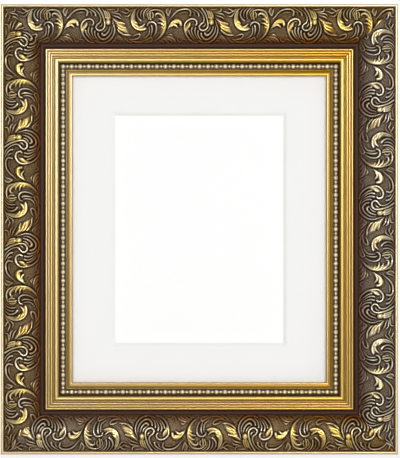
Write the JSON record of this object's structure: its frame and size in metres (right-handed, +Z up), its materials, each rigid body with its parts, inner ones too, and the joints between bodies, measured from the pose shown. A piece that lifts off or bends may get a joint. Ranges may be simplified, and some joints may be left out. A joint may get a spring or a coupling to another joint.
{
  "type": "picture frame",
  "caption": "Ornate gilded wall picture frame with acanthus-scroll moulding, beaded inner slip, bevelled white window mat, glazing and a removable back.",
  "frame": {"origin": "midway between the two hanging rings' hinge bars, in the plane of the moulding's back", "axes": "+Z up, +X to the right seen from the front, +Y from the back towards the wall; the frame faces -Y"},
  "size_m": [0.381, 0.0368, 0.4318],
  "materials": {
    "bronzed_wood": "dark bronze over gesso, gold rim",
    "bronzed_composition": "antique bronze with gold-rubbed relief",
    "gilded_wood": "antique gold leaf",
    "gilded_composition": "antique pale gold",
    "steel": "zinc plated",
    "brass_plate": "pressed plate",
    "clear_glass": "clear float glass",
    "mat_board": "white mat board with a white core",
    "white_paper": "plain white card",
    "fibreboard": "smooth brown fibreboard",
    "bumper_rubber": "matt"
  },
  "bodies": {
    "frame": {"rail_top": "bronzed_wood", "rail_right": "bronzed_wood", "rail_bottom": "bronzed_wood", "rail_left": "bronzed_wood", "ornament_top": "bronzed_composition", "ornament_right": "bronzed_composition", "ornament_bottom": "bronzed_composition", "ornament_left": "bronzed_composition", "slip_top": "gilded_wood", "slip_right": "gilded_wood", "slip_bottom": "gilded_wood", "slip_left": "gilded_wood", "beads_top": "gilded_composition", "beads_right": "gilded_composition", "beads_bottom": "gilded_composition", "beads_left": "gilded_composition", "corner_nails": "steel", "turn_button_screws": "steel", "hanger_strap_left": "steel", "hanger_strap_right": "steel", "hanger_screws": "steel", "wall_bumpers": "bumper_rubber"},
    "glazing": {"glass": "clear_glass"},
    "mat": {"window_mat": "mat_board"},
    "sheet": {"picture_sheet": "white_paper"},
    "back": {"backing_board": "fibreboard"},
    "button_top": {"turn_button_top": "brass_plate"},
    "button_upper_right": {"turn_button_upper_right": "brass_plate"},
    "button_lower_right": {"turn_button_lower_right": "brass_plate"},
    "button_bottom": {"turn_button_bottom": "brass_plate"},
    "button_lower_left": {"turn_button_lower_left": "brass_plate"},
    "button_upper_left": {"turn_button_upper_left": "brass_plate"},
    "hanging_ring_left": {"ring_left": "steel"},
    "hanging_ring_right": {"ring_right": "steel"}
  },
  "joints": [
    {"name": "glass_lift", "type": "slide", "parent": "frame", "child": "glazing", "axis": [0, 1, 0], "range_m": [0, 0.03]},
    {"name": "mat_lift", "type": "slide", "parent": "glazing", "child": "mat", "axis": [0, 1, 0], "range_m": [0, 0.03]},
    {"name": "sheet_lift", "type": "slide", "parent": "mat", "child": "sheet", "axis": [0, 1, 0], "range_m": [0, 0.03]},
    {"name": "back_lift", "type": "slide", "parent": "sheet", "child": "back", "axis": [0, 1, 0], "range_m": [0, 0.03]},
    {"name": "button_top_turn", "type": "hinge", "parent": "frame", "child": "button_top", "pos_m": [0, 0.00075, 0.066], "axis": [0, 1, 0], "range_deg": [0, 90]},
    {"name": "button_upper_right_turn", "type": "hinge", "parent": "frame", "child": "button_upper_right", "pos_m": [0.1365, 0.00075, -0.036], "axis": [0, 1, 0], "range_deg": [0, 90]},
    {"name": "button_lower_right_turn", "type": "hinge", "parent": "frame", "child": "button_lower_right", "pos_m": [0.1365, 0.00075, -0.1558], "axis": [0, -1, 0], "range_deg": [0, 90]},
    {"name": "button_bottom_turn", "type": "hinge", "parent": "frame", "child": "button_bottom", "pos_m": [0, 0.00075, -0.2578], "axis": [0, 1, 0], "range_deg": [0, 90]},
    {"name": "button_lower_left_turn", "type": "hinge", "parent": "frame", "child": "button_lower_left", "pos_m": [-0.1365, 0.00075, -0.1558], "axis": [0, 1, 0], "range_deg": [0, 90]},
    {"name": "button_upper_left_turn", "type": "hinge", "parent": "frame", "child": "button_upper_left", "pos_m": [-0.1365, 0.00075, -0.036], "axis": [0, -1, 0], "range_deg": [0, 90]},
    {"name": "ring_left_swing", "type": "hinge", "parent": "frame", "child": "hanging_ring_left", "pos_m": [-0.1485, 0.00243, 0], "axis": [0, 0, 1], "range_deg": [0, 170]},
    {"name": "ring_right_swing", "type": "hinge", "parent": "frame", "child": "hanging_ring_right", "pos_m": [0.1485, 0.00243, 0], "axis": [0, 0, -1], "range_deg": [0, 170]}
  ]
}
